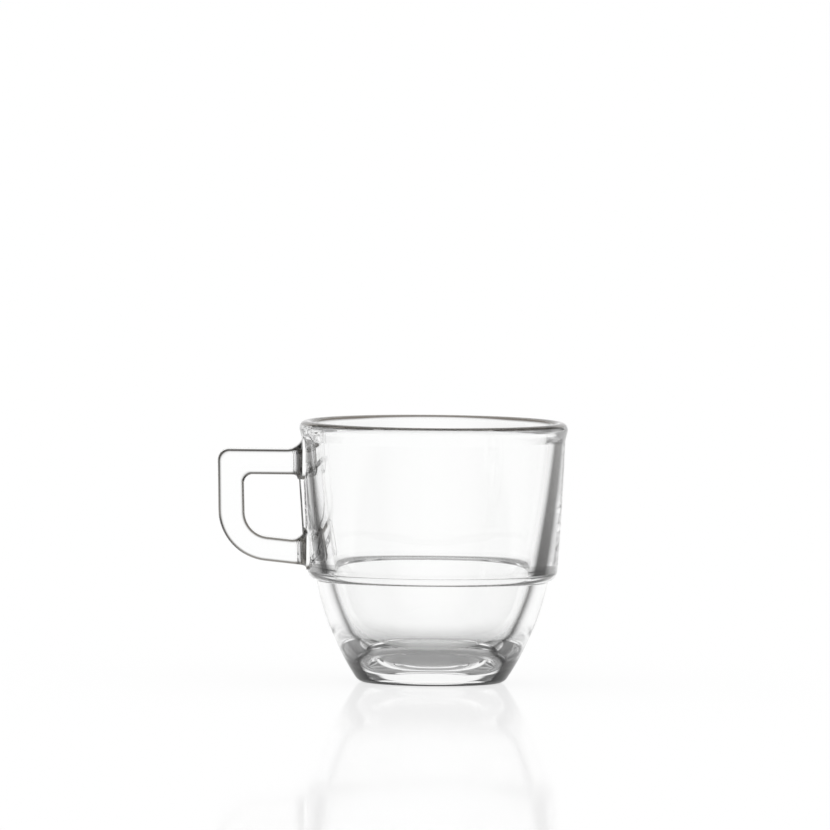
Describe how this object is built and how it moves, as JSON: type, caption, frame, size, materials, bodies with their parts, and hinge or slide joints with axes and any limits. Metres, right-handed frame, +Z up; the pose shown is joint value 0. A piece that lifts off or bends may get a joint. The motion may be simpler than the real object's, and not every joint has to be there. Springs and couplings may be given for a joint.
{
  "type": "cortado glass",
  "caption": "Small thick-walled clear glass cup with a rounded rim, a stacking step in its side, a heavy base and a loop handle, for short milk coffees.",
  "frame": {"origin": "on the bowl's axis, in the plane of the ring that it stands on", "axes": "+Z up along the bowl's axis, the handle points along -X, and the cup is the same on both sides of the XZ plane"},
  "size_m": [0.0912, 0.07, 0.068],
  "materials": {
    "bowl_glass": "clear, fire-polished",
    "handle_glass": "clear, fire-polished"
  },
  "bodies": {
    "root": {"bowl": "bowl_glass", "handle": "handle_glass"}
  },
  "joints": []
}
